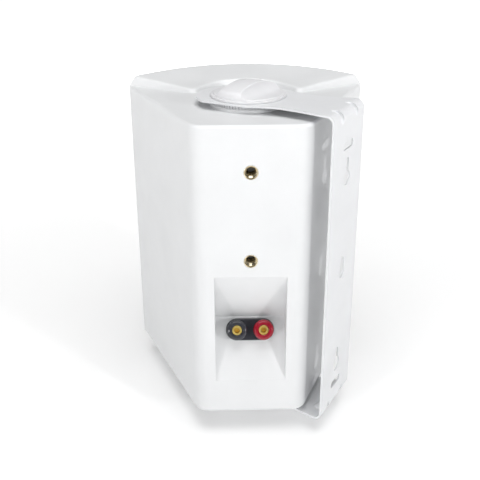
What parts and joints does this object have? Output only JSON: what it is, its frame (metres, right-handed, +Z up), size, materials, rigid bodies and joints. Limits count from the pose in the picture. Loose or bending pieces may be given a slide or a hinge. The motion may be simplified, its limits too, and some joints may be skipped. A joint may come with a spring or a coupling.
{
  "type": "wall speaker",
  "caption": "Tapered moulded loudspeaker cabinet with bowed grille, binding posts in a rear scoop and a swivelling U-shaped wall bracket held by clamp knobs.",
  "frame": {"origin": "middle of the wall plate on its outer face, in the centre hole", "axes": "+Z up, +Y out of the cabinet rear face, grille towards -Y; in the rest pose the bracket is swung 60 degrees from straight back, towards -X"},
  "size_m": [0.1783, 0.1566, 0.2506],
  "materials": {
    "white_steel": "smooth powder coat",
    "white_plastic": "fine satin moulding",
    "zinc_steel": "zinc plated",
    "black_steel": "black coating",
    "brass": "turned",
    "gold_brass": "gold plated",
    "black_plastic": "satin",
    "black_gloss": "polished",
    "red_gloss": "polished",
    "dark_plastic": "fine grain",
    "black_rubber": "matt",
    "ferrite": "sintered ceramic",
    "cone_fibre": "polymer fibre",
    "copper_wire": "enamelled copper winding",
    "spider_cloth": "resin cloth",
    "dome_silk": "coated silk",
    "board_laminate": "laminate",
    "wadding": "polyester wadding",
    "wire_jacket": "vinyl"
  },
  "bodies": {
    "bracket": {"wall_bracket": "white_steel"},
    "cabinet": {"cabinet_shell": "white_plastic", "upper_detent_ring": "white_plastic", "lower_detent_ring": "white_plastic", "pivot_inserts": "brass", "rear_inserts": "brass", "terminal_base": "black_plastic", "black_post": "gold_brass", "red_post": "gold_brass", "terminal_nuts": "zinc_steel", "solder_lugs": "zinc_steel", "front_baffle": "dark_plastic", "baffle_gasket": "black_rubber", "baffle_screws": "black_steel", "grille": "white_steel", "port_tube_left": "dark_plastic", "port_tube_right": "dark_plastic", "woofer_basket": "black_steel", "woofer_top_plate": "zinc_steel", "woofer_magnet": "ferrite", "woofer_yoke": "zinc_steel", "woofer_surround": "black_rubber", "woofer_spider": "spider_cloth", "woofer_screws": "black_steel", "tweeter_plate": "dark_plastic", "tweeter_dome": "dome_silk", "tweeter_magnet": "ferrite", "tweeter_screws": "black_steel", "crossover_board": "board_laminate", "crossover_coil": "copper_wire", "crossover_capacitors": "black_plastic", "crossover_resistor": "ferrite", "crossover_screws": "zinc_steel", "damping_pads": "wadding", "input_wires": "wire_jacket", "woofer_wires": "wire_jacket", "tweeter_wires": "wire_jacket"},
    "upper_washer": {"upper_knob_washer": "zinc_steel"},
    "lower_washer": {"lower_knob_washer": "zinc_steel"},
    "upper_knob": {"upper_knob": "white_plastic", "upper_knob_stud": "zinc_steel"},
    "lower_knob": {"lower_knob": "white_plastic", "lower_knob_stud": "zinc_steel"},
    "black_collar": {"black_collar": "gold_brass"},
    "red_collar": {"red_collar": "gold_brass"},
    "black_cap": {"black_cap": "black_gloss"},
    "red_cap": {"red_cap": "red_gloss"},
    "cone": {"woofer_cone": "cone_fibre", "woofer_dust_cap": "cone_fibre", "woofer_voice_coil": "copper_wire"}
  },
  "joints": [
    {"name": "cabinet_swivel", "type": "hinge", "parent": "bracket", "child": "cabinet", "pos_m": [0.06495, -0.0375, 0], "axis": [0, 0, 1], "range_deg": [-15, 135]},
    {"name": "upper_knob_lift", "type": "slide", "parent": "cabinet", "child": "upper_washer", "axis": [0, 0, 1], "range_m": [0, 0.0025]},
    {"name": "upper_knob_turn", "type": "hinge", "parent": "upper_washer", "child": "upper_knob", "pos_m": [0.06495, -0.0375, 0.115], "axis": [0, 0, 1], "range_deg": [0, 720]},
    {"name": "lower_knob_lift", "type": "slide", "parent": "cabinet", "child": "lower_washer", "axis": [0, 0, -1], "range_m": [0, 0.0025]},
    {"name": "lower_knob_turn", "type": "hinge", "parent": "lower_washer", "child": "lower_knob", "pos_m": [0.06495, -0.0375, -0.115], "axis": [0, 0, -1], "range_deg": [0, 720]},
    {"name": "black_cap_lift", "type": "slide", "parent": "cabinet", "child": "black_collar", "axis": [0, 0.9019, 0.432], "range_m": [0, 0.0014]},
    {"name": "black_cap_turn", "type": "hinge", "parent": "black_collar", "child": "black_cap", "pos_m": [0.07448, 0.0128, -0.04271], "axis": [0, 0.9019, 0.432], "range_deg": [0, 720]},
    {"name": "red_cap_lift", "type": "slide", "parent": "cabinet", "child": "red_collar", "axis": [0, 0.9019, 0.432], "range_m": [0, 0.0014]},
    {"name": "red_cap_turn", "type": "hinge", "parent": "red_collar", "child": "red_cap", "pos_m": [0.05543, 0.0128, -0.04271], "axis": [0, 0.9019, 0.432], "range_deg": [0, 720]},
    {"name": "cone_stroke", "type": "slide", "parent": "cabinet", "child": "cone", "axis": [0, -1, 0], "range_m": [-0.003, 0.003], "stiffness_N_per_m": 1500, "deforming": ["woofer_surround", "woofer_spider"]}
  ],
  "couplings": [
    {"joint": "upper_knob_turn", "follows": "upper_knob_lift", "rad_per_m": 5026.5},
    {"joint": "lower_knob_turn", "follows": "lower_knob_lift", "rad_per_m": 5026.5},
    {"joint": "black_cap_turn", "follows": "black_cap_lift", "rad_per_m": 8975.9},
    {"joint": "red_cap_turn", "follows": "red_cap_lift", "rad_per_m": 8975.9}
  ]
}
